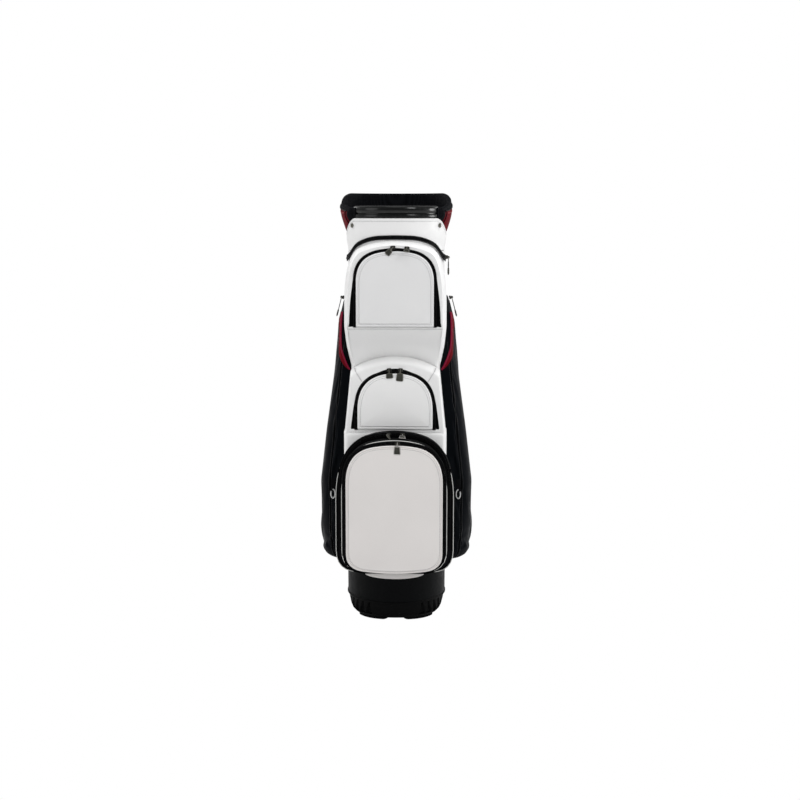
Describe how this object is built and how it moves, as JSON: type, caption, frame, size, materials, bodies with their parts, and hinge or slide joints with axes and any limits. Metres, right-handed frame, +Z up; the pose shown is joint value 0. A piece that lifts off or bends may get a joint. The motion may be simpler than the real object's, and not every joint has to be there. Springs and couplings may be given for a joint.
{
  "type": "golf staff bag",
  "caption": "Upright golf staff bag with padded club divider top, zipped front pockets, side pockets, shoulder strap and moulded base.",
  "frame": {"origin": "on the floor, on the axis of the bag's tube, at the underside of the base", "axes": "+Z up the bag to its mouth; -Y out of the zipped front pockets; +X to the right seen from the front"},
  "size_m": [0.338, 0.4364, 0.918],
  "materials": {
    "white_pu": "fine-grained white coated leather, satin",
    "black_pu": "fine-grained black coated leather, satin",
    "red_pu": "dark red coated leather with black padded lining",
    "black_nylon": "black satin nylon, soft folds",
    "lining": "dark woven lining",
    "gloss_plastic": "glossy black moulding",
    "rubber": "matt black moulded rubber",
    "fibreglass": "dark pultruded rod",
    "metal": "plated",
    "gunmetal": "gunmetal plated, satin"
  },
  "bodies": {
    "bag": {"base_cup": "rubber", "foot_left": "rubber", "foot_right": "rubber", "foot_rear": "rubber", "body_tube": "lining", "lower_cover": "black_pu", "front_cover": "white_pu", "rear_cover": "black_pu", "stay_left": "fibreglass", "stay_right": "fibreglass", "collar_cover": "white_pu", "top_cuff": "gloss_plastic", "rear_hood": "red_pu", "divider_frame": "black_pu", "divider_sheets": "lining", "hood_zip_band": "black_nylon", "snap_left": "metal", "snap_right": "metal", "upper_pocket_shell": "white_pu", "mid_pocket_shell": "white_pu", "ball_pocket_rear": "black_nylon", "side_pocket_left": "black_nylon", "side_pocket_right": "black_nylon", "ring_tab_upper": "black_pu", "ring_tab_lower": "black_pu", "handle_patch": "black_pu"},
    "upper_door": {"upper_pocket_door": "white_pu"},
    "mid_door": {"mid_pocket_door": "white_pu"},
    "ball_front": {"ball_pocket_front": "black_nylon"},
    "ball_panel": {"ball_pocket_panel": "white_pu"},
    "upper_left_slider": {"upper_left_slider": "gunmetal"},
    "upper_left_pull": {"upper_left_pull": "gunmetal"},
    "upper_right_slider": {"upper_right_slider": "gunmetal"},
    "upper_right_pull": {"upper_right_pull": "gunmetal"},
    "mid_left_slider": {"mid_left_slider": "gunmetal"},
    "mid_left_pull": {"mid_left_pull": "gunmetal"},
    "mid_right_slider": {"mid_right_slider": "gunmetal"},
    "mid_right_pull": {"mid_right_pull": "gunmetal"},
    "ball_outer_left_slider": {"ball_outer_left_slider": "gunmetal"},
    "ball_outer_left_pull": {"ball_outer_left_pull": "gunmetal"},
    "ball_outer_right_slider": {"ball_outer_right_slider": "gunmetal"},
    "ball_outer_right_pull": {"ball_outer_right_pull": "gunmetal"},
    "ball_inner_slider": {"ball_inner_slider": "gunmetal"},
    "ball_inner_pull": {"ball_inner_pull": "gunmetal"},
    "side_left_slider": {"side_left_slider": "gunmetal"},
    "side_left_pull": {"side_left_pull": "gunmetal"},
    "side_right_slider": {"side_right_slider": "gunmetal"},
    "side_right_pull": {"side_right_pull": "gunmetal"},
    "hood_zip_slider": {"hood_zip_slider": "gunmetal"},
    "hood_zip_pull": {"hood_zip_pull": "gunmetal"},
    "hook_left": {"hook_left": "metal"},
    "hook_right": {"hook_right": "metal"},
    "strap_ring_upper": {"strap_ring_upper": "metal"},
    "strap_ring_lower": {"strap_ring_lower": "metal"},
    "strap": {"strap_hook_upper": "metal", "strap_hook_lower": "metal", "strap_web": "black_nylon", "strap_pad": "black_pu", "strap_buckle": "metal"},
    "carry_handle": {"carry_handle": "black_pu"}
  },
  "joints": [
    {"name": "upper_door_open", "type": "hinge", "parent": "bag", "child": "upper_door", "pos_m": [0, -0.165, 0.6435], "axis": [1, 0, 0], "range_deg": [0, 80]},
    {"name": "mid_door_open", "type": "hinge", "parent": "bag", "child": "mid_door", "pos_m": [0, -0.151, 0.4285], "axis": [1, 0, 0], "range_deg": [0, 75]},
    {"name": "ball_front_open", "type": "hinge", "parent": "bag", "child": "ball_front", "pos_m": [0, -0.1884, 0.131], "axis": [1, 0, 0], "range_deg": [0, 45]},
    {"name": "ball_panel_open", "type": "hinge", "parent": "ball_front", "child": "ball_panel", "pos_m": [0, -0.235, 0.141], "axis": [1, 0, 0], "range_deg": [0, 50]},
    {"name": "upper_left_run", "type": "hinge", "parent": "upper_door", "child": "upper_left_slider", "pos_m": [0, -0.1604, 0.617], "axis": [0, 1, 0], "range_deg": [-12, 4]},
    {"name": "upper_left_flip", "type": "hinge", "parent": "upper_left_slider", "child": "upper_left_pull", "pos_m": [-0.00428, -0.167, 0.80545], "axis": [-0.7581, 0, 0.6521], "range_deg": [0, 150]},
    {"name": "upper_right_run", "type": "hinge", "parent": "upper_door", "child": "upper_right_slider", "pos_m": [0, -0.1604, 0.617], "axis": [0, 1, 0], "range_deg": [-4, 6.5]},
    {"name": "upper_right_flip", "type": "hinge", "parent": "upper_right_slider", "child": "upper_right_pull", "pos_m": [0.0246, -0.167, 0.80389], "axis": [-0.9914, 0, 0.1305], "range_deg": [-65, 80]},
    {"name": "mid_left_run", "type": "hinge", "parent": "mid_door", "child": "mid_left_slider", "pos_m": [0, -0.1464, 0.424], "axis": [0, 1, 0], "range_deg": [-15, 3]},
    {"name": "mid_left_flip", "type": "hinge", "parent": "mid_left_slider", "child": "mid_left_pull", "pos_m": [-0.01236, -0.153, 0.55241], "axis": [-0.9954, 0, -0.0958], "range_deg": [0, 150]},
    {"name": "mid_right_run", "type": "hinge", "parent": "mid_door", "child": "mid_right_slider", "pos_m": [0, -0.1464, 0.424], "axis": [0, 1, 0], "range_deg": [-3, 15]},
    {"name": "mid_right_flip", "type": "hinge", "parent": "mid_right_slider", "child": "mid_right_pull", "pos_m": [0.01124, -0.153, 0.55251], "axis": [-0.9962, 0, 0.0872], "range_deg": [0, 150]},
    {"name": "ball_outer_left_run", "type": "hinge", "parent": "ball_front", "child": "ball_outer_left_slider", "pos_m": [0, -0.1884, 0.148], "axis": [0, 1, 0], "range_deg": [-8, 2]},
    {"name": "ball_outer_left_flip", "type": "hinge", "parent": "ball_outer_left_slider", "child": "ball_outer_left_pull", "pos_m": [-0.01248, -0.195, 0.42292], "axis": [-0.6769, 0, 0.7361], "range_deg": [0, 60]},
    {"name": "ball_outer_right_run", "type": "hinge", "parent": "ball_front", "child": "ball_outer_right_slider", "pos_m": [0, -0.1884, 0.148], "axis": [0, 1, 0], "range_deg": [-2, 8]},
    {"name": "ball_outer_right_flip", "type": "hinge", "parent": "ball_outer_right_slider", "child": "ball_outer_right_pull", "pos_m": [0.01632, -0.195, 0.42272], "axis": [-0.9982, 0, 0.0593], "range_deg": [0, 60]},
    {"name": "ball_inner_run", "type": "hinge", "parent": "ball_panel", "child": "ball_inner_slider", "pos_m": [0, -0.2294, 0.148], "axis": [0, 1, 0], "range_deg": [-9.5, 8]},
    {"name": "ball_inner_flip", "type": "hinge", "parent": "ball_inner_slider", "child": "ball_inner_pull", "pos_m": [0.00647, -0.236, 0.41292], "axis": [-0.9997, 0, 0.0244], "range_deg": [0, 150]},
    {"name": "side_left_run", "type": "slide", "parent": "bag", "child": "side_left_slider", "axis": [-0.2504, 0, -0.9681], "range_m": [0, 0.05]},
    {"name": "side_left_flip", "type": "hinge", "parent": "side_left_slider", "child": "side_left_pull", "pos_m": [-0.12019, 0.018, 0.69365], "axis": [0, 1, 0], "range_deg": [0, 120]},
    {"name": "side_right_run", "type": "slide", "parent": "bag", "child": "side_right_slider", "axis": [0.2504, 0, -0.9681], "range_m": [0, 0.05]},
    {"name": "side_right_flip", "type": "hinge", "parent": "side_right_slider", "child": "side_right_pull", "pos_m": [0.12019, 0.018, 0.69365], "axis": [0, -1, 0], "range_deg": [0, 120]},
    {"name": "hood_zip_run", "type": "slide", "parent": "bag", "child": "hood_zip_slider", "axis": [-0.2792, -0.9214, 0.2702], "range_m": [0, 0.018]},
    {"name": "hood_zip_flip", "type": "hinge", "parent": "hood_zip_slider", "child": "hood_zip_pull", "pos_m": [0.11146, -0.03869, 0.782], "axis": [-0.309, -0.9511, 0], "range_deg": [0, 120]},
    {"name": "hook_left_swing", "type": "hinge", "parent": "bag", "child": "hook_left", "pos_m": [-0.134, -0.095, 0.292], "axis": [-1, 0, 0], "range_deg": [0, 70]},
    {"name": "hook_right_swing", "type": "hinge", "parent": "bag", "child": "hook_right", "pos_m": [0.134, -0.095, 0.292], "axis": [-1, 0, 0], "range_deg": [0, 70]},
    {"name": "strap_ring_upper_tilt", "type": "hinge", "parent": "bag", "child": "strap_ring_upper", "pos_m": [0.028, 0.1195, 0.772], "axis": [1, 0, 0], "range_deg": [-8, 8]},
    {"name": "strap_ring_lower_tilt", "type": "hinge", "parent": "bag", "child": "strap_ring_lower", "pos_m": [0.028, 0.1195, 0.35], "axis": [1, 0, 0], "range_deg": [-8, 8]},
    {"name": "strap_swing", "type": "hinge", "parent": "bag", "child": "strap", "pos_m": [0.028, 0.141, 0.561], "axis": [0, 0, 1], "range_deg": [-25, 25]},
    {"name": "carry_handle_swing", "type": "hinge", "parent": "bag", "child": "carry_handle", "pos_m": [-0.05357, 0.10481, 0.54], "axis": [0, 0, 1], "range_deg": [-30, 30]}
  ]
}
